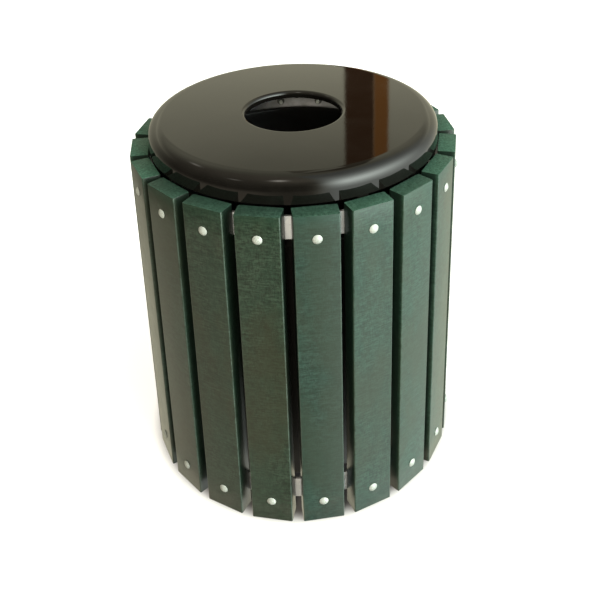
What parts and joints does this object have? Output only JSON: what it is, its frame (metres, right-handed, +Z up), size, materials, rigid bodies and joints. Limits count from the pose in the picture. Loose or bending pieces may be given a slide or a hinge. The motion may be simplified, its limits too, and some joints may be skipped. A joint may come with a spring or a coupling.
{
  "type": "litter bin",
  "caption": "Round slatted outdoor litter bin: upright recycled-plastic boards bolted to inner steel hoops, loose rigid liner and a loose flat-top lid with a central drop hole.",
  "frame": {"origin": "centre of the ring of boards, on the ground", "axes": "+Z up along the axis of the ring; a gap between two boards lies on each of +X, -X, +Y and -Y"},
  "size_m": [0.7204, 0.7204, 0.8106],
  "materials": {
    "recycled_board": "dark green recycled plastic lumber, satin, fine lengthwise and cross striations",
    "galvanised_bar": "hot-dip galvanised flat bar with a soft spangle",
    "zinc_fastener": "bright zinc plated",
    "lid_gloss": "high gloss black",
    "liner_plastic": "matt black moulded plastic"
  },
  "bodies": {
    "ring": {"slat_01": "recycled_board", "slat_02": "recycled_board", "slat_03": "recycled_board", "slat_04": "recycled_board", "slat_05": "recycled_board", "slat_06": "recycled_board", "slat_07": "recycled_board", "slat_08": "recycled_board", "slat_09": "recycled_board", "slat_10": "recycled_board", "slat_11": "recycled_board", "slat_12": "recycled_board", "slat_13": "recycled_board", "slat_14": "recycled_board", "slat_15": "recycled_board", "slat_16": "recycled_board", "slat_17": "recycled_board", "slat_18": "recycled_board", "slat_19": "recycled_board", "slat_20": "recycled_board", "top_hoop": "galvanised_bar", "bottom_hoop": "galvanised_bar", "bolts_top": "zinc_fastener", "bolts_bottom": "zinc_fastener", "flange_nuts_top": "zinc_fastener", "flange_nuts_bottom": "zinc_fastener"},
    "liner": {"liner": "liner_plastic"},
    "lid": {"lid": "lid_gloss"}
  },
  "joints": [
    {"name": "liner_lift", "type": "slide", "parent": "ring", "child": "liner", "axis": [0, 0, 1], "range_m": [0, 0.78]},
    {"name": "lid_lift", "type": "slide", "parent": "liner", "child": "lid", "axis": [0, 0, 1], "range_m": [0, 0.3]}
  ]
}
